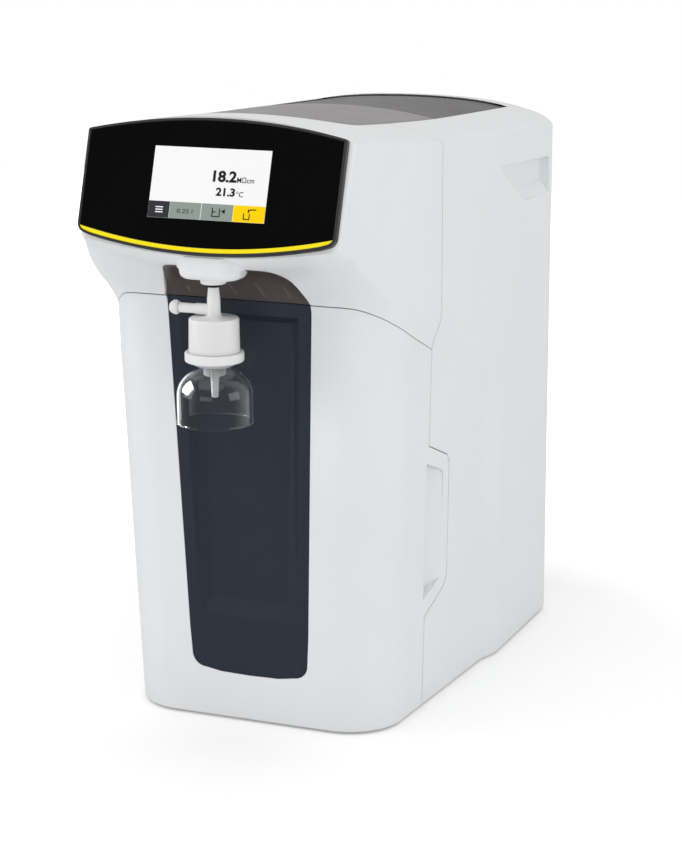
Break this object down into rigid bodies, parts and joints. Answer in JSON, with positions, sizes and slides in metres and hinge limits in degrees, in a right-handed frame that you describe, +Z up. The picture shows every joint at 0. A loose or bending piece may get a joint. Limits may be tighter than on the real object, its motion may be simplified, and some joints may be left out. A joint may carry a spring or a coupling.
{
  "type": "ultrapure water system",
  "caption": "Bench-top ultrapure water machine with a leaning touch display, a dispensing niche, a capsule filter with a bell below it, and water and power ports at the rear.",
  "frame": {"origin": "centre of the bounding box's foot, on the surface that the feet stand on", "axes": "+Z up, +X to the machine's left-hand side as seen from behind (to the right of someone who faces the display), the front faces -Y"},
  "size_m": [0.2744, 0.499, 0.5193],
  "materials": {
    "shell_white": "satin moulded, cool white",
    "panel_slate": "fine matt texture, slate grey",
    "liner_umber": "matt, warm dark grey",
    "lid_taupe": "matt, warm light grey",
    "tray_taupe": "matt, warm dark grey",
    "bezel_graphite": "matt graphite",
    "front_glass": "polished, near black",
    "screen": "lit screen",
    "strip_yellow": "lit diffuser, yellow",
    "valve_black": "matt, dark grey",
    "seal_rubber": "soft black rubber",
    "filter_clear": "clear polycarbonate, slightly frosted",
    "membrane_white": "pleated white membrane",
    "cap_white": "smooth white polypropylene",
    "bell_clear": "clear plastic, pale blue",
    "sheet_steel": "zinc-plated sheet",
    "cartridge_white": "smooth white plastic",
    "cartridge_blue": "smooth blue plastic",
    "pump_grey": "cast aluminium",
    "motor_black": "black paint",
    "board_green": "green solder mask",
    "port_black": "matt black",
    "collet_blue": "blue acetal",
    "collet_grey": "grey acetal"
  },
  "bodies": {
    "housing": {"rear_housing": "shell_white", "head_cover": "shell_white", "niche_panel": "panel_slate", "recess_liner": "liner_umber", "top_lid": "lid_taupe", "top_tray": "tray_taupe", "display_housing": "bezel_graphite", "display_glass": "front_glass", "touch_screen": "screen", "light_strip": "strip_yellow", "dispense_head": "valve_black", "nozzle": "shell_white", "nozzle_seal": "seal_rubber", "base_plate": "sheet_steel", "feet": "seal_rubber", "chassis": "sheet_steel", "cartridge_dock": "valve_black", "storage_tank": "cap_white", "tank_cap": "valve_black", "pump_head": "pump_grey", "pump_motor": "motor_black", "uv_reactor": "sheet_steel", "uv_clips": "valve_black", "solenoid_valve": "valve_black", "conductivity_cell": "cap_white", "control_board": "board_green", "power_supply": "sheet_steel", "rear_panel": "sheet_steel", "power_inlet": "port_black", "rocker_frame": "port_black", "water_fittings": "port_black", "usb_port": "sheet_steel", "panel_screws": "sheet_steel"},
    "front_cover": {"front_cover": "shell_white"},
    "filter": {"filter_body": "filter_clear", "filter_base": "filter_clear", "filter_membrane": "membrane_white"},
    "bell": {"bell": "bell_clear"},
    "vent_cap": {"vent_cap": "cap_white"},
    "rocker": {"rocker": "port_black"},
    "feed_collet": {"feed_collet": "collet_blue"},
    "drain_collet": {"drain_collet": "collet_grey"},
    "polishing_cartridge": {"polishing_cartridge": "cartridge_white"},
    "pretreatment_cartridge": {"pretreatment_cartridge": "cartridge_blue"}
  },
  "joints": [
    {"name": "cover_slide", "type": "slide", "parent": "housing", "child": "front_cover", "axis": [0, -1, 0], "range_m": [0, 0.12]},
    {"name": "filter_slide", "type": "slide", "parent": "housing", "child": "filter", "axis": [0, 0, -1], "range_m": [0, 0.02]},
    {"name": "bell_slide", "type": "slide", "parent": "filter", "child": "bell", "axis": [0, 0, -1], "range_m": [0, 0.02]},
    {"name": "vent_cap_turn", "type": "hinge", "parent": "filter", "child": "vent_cap", "pos_m": [-0.031, -0.21845, 0.3685], "axis": [1, 0, 0], "range_deg": [0, 180]},
    {"name": "rocker_tilt", "type": "hinge", "parent": "housing", "child": "rocker", "pos_m": [0.01, 0.23455, 0.092], "axis": [1, 0, 0], "range_deg": [0, 16]},
    {"name": "feed_collet_push", "type": "slide", "parent": "housing", "child": "feed_collet", "axis": [0, -1, 0], "range_m": [0, 0.0015]},
    {"name": "drain_collet_push", "type": "slide", "parent": "housing", "child": "drain_collet", "axis": [0, -1, 0], "range_m": [0, 0.0015]},
    {"name": "polishing_cartridge_turn", "type": "hinge", "parent": "housing", "child": "polishing_cartridge", "pos_m": [0.09, -0.08645, 0.182], "axis": [0, 0, 1], "range_deg": [0, 45]},
    {"name": "pretreatment_cartridge_turn", "type": "hinge", "parent": "housing", "child": "pretreatment_cartridge", "pos_m": [-0.09, -0.08645, 0.182], "axis": [0, 0, 1], "range_deg": [0, 45]}
  ]
}
